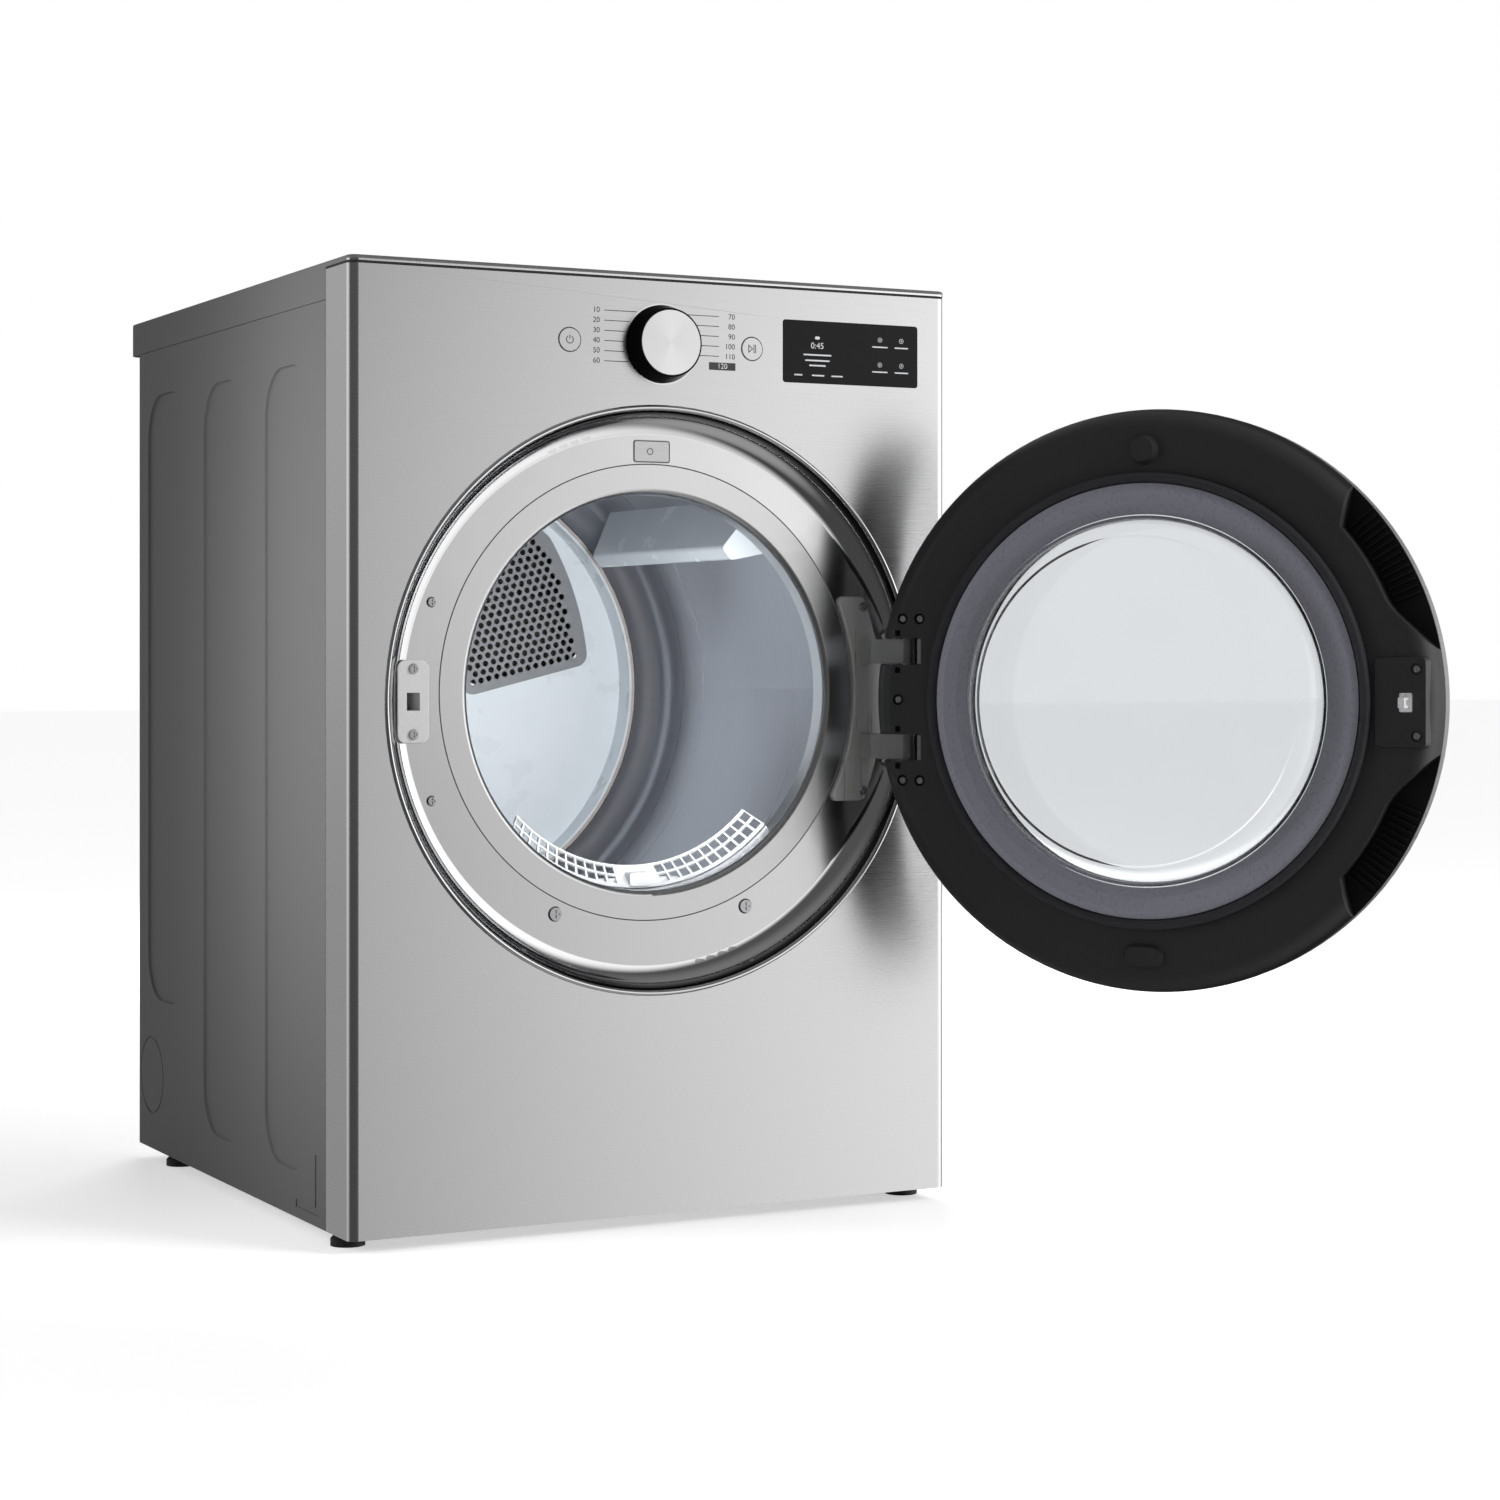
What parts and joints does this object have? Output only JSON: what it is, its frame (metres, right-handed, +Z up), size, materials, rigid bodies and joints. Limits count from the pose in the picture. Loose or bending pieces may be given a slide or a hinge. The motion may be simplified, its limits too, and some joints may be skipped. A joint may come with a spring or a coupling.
{
  "type": "clothes dryer",
  "caption": "Front-loading clothes dryer with a round glass door standing open, a lint filter in the drum mouth, a dial, push buttons, levelling feet and a rear vent collar.",
  "frame": {"origin": "on the floor, in the middle of the rectangle of the four feet", "axes": "+Z up, +X to the right seen from the front, the front faces -Y"},
  "size_m": [0.9888, 1.2473, 0.9873],
  "materials": {
    "stainless": "brushed, grain across",
    "graphite": "satin paint",
    "galvanised": "zinc-coated sheet",
    "rear_white": "satin paint",
    "opening_grey": "satin",
    "drum_steel": "fine turned lines",
    "lifter_plastic": "smooth",
    "felt": "felt",
    "heating_bar": "oxidised",
    "steel": "bright",
    "belt_rubber": "ribbed",
    "roller_rubber": "matt",
    "motor_paint": "satin",
    "idler_metal": "zinc",
    "inner_plastic": "moulded",
    "filter_plastic": "moulded lattice",
    "display_black": "polished",
    "knob_black": "polished",
    "knob_metal": "spun",
    "button_metal": "satin",
    "catch_plastic": "moulded",
    "lens": "frosted",
    "hinge_metal": "dark",
    "screw_metal": "plated",
    "foot_rubber": "matt",
    "charcoal": "fine grain",
    "door_cover": "metallic",
    "window": "clear",
    "bowl": "clear",
    "ring_plastic": "satin",
    "gasket": "matt"
  },
  "bodies": {
    "cabinet": {"front_panel": "stainless", "door_well": "stainless", "side_panel_left": "graphite", "side_panel_right": "graphite", "top_cover": "graphite", "rear_panel": "galvanised", "base_pan": "galvanised", "cross_brace": "galvanised", "front_bulkhead": "galvanised", "rear_bulkhead": "galvanised", "heater_housing": "galvanised", "exhaust_duct": "galvanised", "motor_bracket": "galvanised", "terminal_cover": "galvanised", "rear_air_grille": "rear_white", "door_opening_ring": "opening_grey", "drum_seals": "felt", "heater_element": "heating_bar", "roller_axles": "steel", "exhaust_collar": "steel", "drive_belt": "belt_rubber", "motor": "motor_paint", "blower_housing": "inner_plastic", "lint_duct": "inner_plastic", "control_housing": "inner_plastic", "control_box": "inner_plastic", "encoder": "inner_plastic", "terminal_block": "inner_plastic", "display_window": "display_black", "latch_catch": "catch_plastic", "drum_lamp": "lens", "hinge_plate": "hinge_metal", "well_screws": "screw_metal"},
    "drum": {"drum_shell": "drum_steel", "lifters": "lifter_plastic"},
    "rotor": {"motor_shaft": "steel", "blower_wheel": "inner_plastic"},
    "idler_arm": {"idler_arm": "idler_metal"},
    "idler_pulley": {"idler_pulley": "inner_plastic"},
    "roller_left": {"roller_left": "roller_rubber"},
    "roller_right": {"roller_right": "roller_rubber"},
    "knob": {"knob_body": "knob_black", "knob_face": "knob_metal"},
    "power_button": {"power_button": "button_metal"},
    "start_button": {"start_button": "button_metal"},
    "lint_filter": {"lint_filter": "filter_plastic"},
    "door": {"door_inner_frame": "charcoal", "door_outer_cover": "door_cover", "door_window": "window", "door_bowl": "bowl", "bowl_ring": "ring_plastic", "door_gasket": "gasket", "door_striker": "steel", "door_hinge_block": "hinge_metal", "door_hinge_pins": "steel", "door_screws": "screw_metal"},
    "foot_front_left": {"foot_front_left": "foot_rubber"},
    "foot_front_right": {"foot_front_right": "foot_rubber"},
    "foot_rear_left": {"foot_rear_left": "foot_rubber"},
    "foot_rear_right": {"foot_rear_right": "foot_rubber"}
  },
  "joints": [
    {"name": "door_hinge", "type": "hinge", "parent": "cabinet", "child": "door", "pos_m": [0.2751, -0.3676, 0.5453], "axis": [0, 0, 1], "range_deg": [-128.6, 0]},
    {"name": "knob_turn", "type": "hinge", "parent": "cabinet", "child": "knob", "pos_m": [0, -0.336, 0.914], "axis": [0, 1, 0], "continuous": true},
    {"name": "power_press", "type": "slide", "parent": "cabinet", "child": "power_button", "axis": [0, 1, 0], "range_m": [0, 0.001], "stiffness_N_per_m": 600},
    {"name": "start_press", "type": "slide", "parent": "cabinet", "child": "start_button", "axis": [0, 1, 0], "range_m": [0, 0.001], "stiffness_N_per_m": 600},
    {"name": "drum_spin", "type": "hinge", "parent": "cabinet", "child": "drum", "pos_m": [0, 0.014, 0.5533], "axis": [0, 1, 0], "continuous": true},
    {"name": "motor_spin", "type": "hinge", "parent": "cabinet", "child": "rotor", "pos_m": [0.15, -0.011, 0.135], "axis": [0, 1, 0], "continuous": true},
    {"name": "roller_left_spin", "type": "hinge", "parent": "cabinet", "child": "roller_left", "pos_m": [-0.17848, 0.22, 0.26768], "axis": [0, 1, 0], "continuous": true},
    {"name": "roller_right_spin", "type": "hinge", "parent": "cabinet", "child": "roller_right", "pos_m": [0.17848, 0.22, 0.26768], "axis": [0, 1, 0], "continuous": true},
    {"name": "idler_swing", "type": "hinge", "parent": "cabinet", "child": "idler_arm", "pos_m": [0.272, 0.112, 0.15], "axis": [0, 1, 0], "range_deg": [0, 12], "stiffness_Nm_per_rad": 20, "springref_deg": -11.46},
    {"name": "idler_spin", "type": "hinge", "parent": "idler_arm", "child": "idler_pulley", "pos_m": [0.24532, 0.099, 0.27903], "axis": [0, 1, 0], "continuous": true},
    {"name": "filter_lift", "type": "slide", "parent": "cabinet", "child": "lint_filter", "axis": [0, 0, 1], "range_m": [0, 0.2]},
    {"name": "foot_front_left_screw", "type": "slide", "parent": "cabinet", "child": "foot_front_left", "axis": [0, 0, -1], "range_m": [0, 0.02]},
    {"name": "foot_front_right_screw", "type": "slide", "parent": "cabinet", "child": "foot_front_right", "axis": [0, 0, -1], "range_m": [0, 0.02]},
    {"name": "foot_rear_left_screw", "type": "slide", "parent": "cabinet", "child": "foot_rear_left", "axis": [0, 0, -1], "range_m": [0, 0.02]},
    {"name": "foot_rear_right_screw", "type": "slide", "parent": "cabinet", "child": "foot_rear_right", "axis": [0, 0, -1], "range_m": [0, 0.02]}
  ],
  "couplings": [
    {"joint": "motor_spin", "follows": "drum_spin", "ratio": 21.978},
    {"joint": "roller_left_spin", "follows": "drum_spin", "ratio": -8.6143},
    {"joint": "roller_right_spin", "follows": "drum_spin", "ratio": -8.6143},
    {"joint": "idler_spin", "follows": "drum_spin", "ratio": -12.744}
  ]
}
